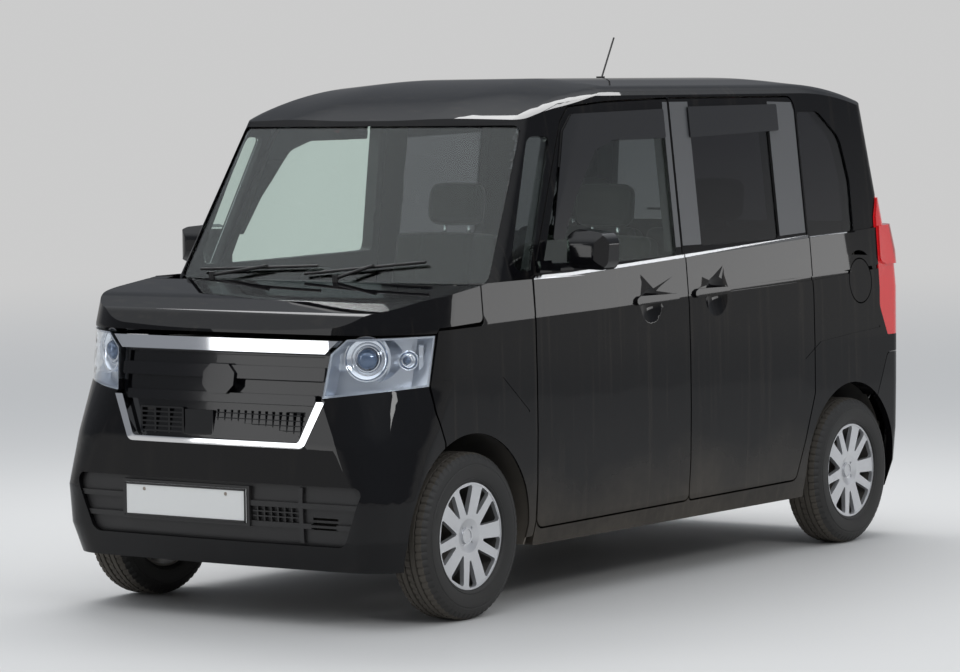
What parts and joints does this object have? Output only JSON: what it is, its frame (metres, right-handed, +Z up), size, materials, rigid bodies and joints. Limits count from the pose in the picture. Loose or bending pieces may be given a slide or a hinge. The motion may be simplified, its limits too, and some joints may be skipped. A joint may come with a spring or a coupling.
{
  "type": "kei car",
  "caption": "Small tall passenger car with hinged front doors, sliding rear doors, bonnet, tailgate, steered front wheels and a furnished cabin.",
  "frame": {"origin": "on the ground below the middle of the body's length and width", "axes": "+X to the nose, +Y to the car's left, +Z up"},
  "size_m": [3.3938, 1.8642, 1.9536],
  "materials": {
    "body_paint": "gloss",
    "bright_trim": "mirror",
    "bumper_paint": "gloss",
    "cabin_plastic": "matte",
    "cast_metal": "satin",
    "chassis_black": "satin",
    "clear_glass": "gloss",
    "dark_glass": "gloss",
    "dark_plastic": "matte",
    "gloss_trim": "gloss",
    "lamp_clear": "gloss",
    "lamp_mirror": "mirror",
    "lamp_red": "gloss",
    "plate_white": "satin",
    "seat_fabric": "woven",
    "steel": "satin",
    "tyre_rubber": "matte",
    "wheel_silver": "satin"
  },
  "bodies": {
    "body": {"underbody": "chassis_black", "side_frames": "body_paint", "roof": "body_paint", "fenders": "body_paint", "front_bumper": "bumper_paint", "grille": "gloss_trim", "grille_trim": "bright_trim", "lower_grille": "dark_plastic", "headlamps": "lamp_mirror", "headlamp_lenses": "lamp_clear", "windscreen": "clear_glass", "pillar_glass": "clear_glass", "quarter_glass": "dark_glass", "sliding_doors": "body_paint", "sliding_door_glass": "dark_glass", "rear_bumper": "bumper_paint", "tail_lamps": "lamp_red", "cowl": "dark_plastic", "wipers": "dark_plastic", "engine": "cast_metal", "fuel_tank": "dark_plastic", "exhaust": "steel", "front_suspension": "chassis_black", "rear_axle": "chassis_black", "dashboard": "cabin_plastic", "front_seats": "seat_fabric", "rear_seats": "seat_fabric", "antenna": "dark_plastic", "front_plate": "plate_white"},
    "front_door_left": {"front_door_left": "body_paint", "door_glass_left": "clear_glass", "mirror_left": "gloss_trim"},
    "front_door_right": {"front_door_right": "body_paint", "door_glass_right": "clear_glass", "mirror_right": "gloss_trim"},
    "bonnet": {"bonnet": "body_paint"},
    "tailgate": {"tailgate": "body_paint", "tailgate_glass": "dark_glass", "rear_wiper": "dark_plastic"},
    "fuel_lid": {"fuel_lid": "body_paint"},
    "knuckle_left": {"knuckle_left": "cast_metal"},
    "knuckle_right": {"knuckle_right": "cast_metal"},
    "steering_wheel": {"steering_wheel": "cabin_plastic"},
    "wheel_front_left": {"tyre_front_left": "tyre_rubber", "rim_front_left": "wheel_silver"},
    "wheel_front_right": {"tyre_front_right": "tyre_rubber", "rim_front_right": "wheel_silver"},
    "wheel_rear_left": {"tyre_rear_left": "tyre_rubber", "rim_rear_left": "wheel_silver"},
    "wheel_rear_right": {"tyre_rear_right": "tyre_rubber", "rim_rear_right": "wheel_silver"}
  },
  "joints": [
    {"name": "steer_left", "type": "hinge", "parent": "body", "child": "knuckle_left", "pos_m": [1.236, 0.5865, 0.19], "axis": [-0.0255, -0.1163, 0.9929], "range_deg": [-33, 33]},
    {"name": "steer_right", "type": "hinge", "parent": "body", "child": "knuckle_right", "pos_m": [1.236, -0.5865, 0.19], "axis": [-0.0255, 0.1163, 0.9929], "range_deg": [-33, 33]},
    {"name": "steering_wheel_turn", "type": "hinge", "parent": "body", "child": "steering_wheel", "pos_m": [0.56, -0.33, 0.96], "axis": [-0.8619, 0, 0.507], "range_deg": [-500, 500]},
    {"name": "wheel_front_left_spin", "type": "hinge", "parent": "knuckle_left", "child": "wheel_front_left", "pos_m": [1.23, 0.6525, 0.278], "axis": [0, 1, 0], "continuous": true},
    {"name": "wheel_front_right_spin", "type": "hinge", "parent": "knuckle_right", "child": "wheel_front_right", "pos_m": [1.23, -0.6525, 0.278], "axis": [0, 1, 0], "continuous": true},
    {"name": "wheel_rear_left_spin", "type": "hinge", "parent": "body", "child": "wheel_rear_left", "pos_m": [-1.29, 0.6525, 0.278], "axis": [0, 1, 0], "continuous": true},
    {"name": "wheel_rear_right_spin", "type": "hinge", "parent": "body", "child": "wheel_rear_right", "pos_m": [-1.29, -0.6525, 0.278], "axis": [0, 1, 0], "continuous": true},
    {"name": "front_door_left_hinge", "type": "hinge", "parent": "body", "child": "front_door_left", "pos_m": [0.88, 0.71461, 0.645], "axis": [0, 0, -1], "range_deg": [0, 70]},
    {"name": "front_door_right_hinge", "type": "hinge", "parent": "body", "child": "front_door_right", "pos_m": [0.88, -0.71461, 0.645], "axis": [0, 0, 1], "range_deg": [0, 70]},
    {"name": "bonnet_hinge", "type": "hinge", "parent": "body", "child": "bonnet", "pos_m": [1.085, 0, 1.085], "axis": [0, -1, 0], "range_deg": [0, 50]},
    {"name": "tailgate_hinge", "type": "hinge", "parent": "body", "child": "tailgate", "pos_m": [-1.47, 0, 1.722], "axis": [0, 1, 0], "range_deg": [0, 78]},
    {"name": "fuel_lid_hinge", "type": "hinge", "parent": "body", "child": "fuel_lid", "pos_m": [-1.253, 0.70847, 1.004], "axis": [0, 0, -1], "range_deg": [0, 90]}
  ],
  "couplings": [
    {"joint": "steer_right", "follows": "steer_left", "ratio": 1},
    {"joint": "steering_wheel_turn", "follows": "steer_left", "ratio": 15}
  ]
}
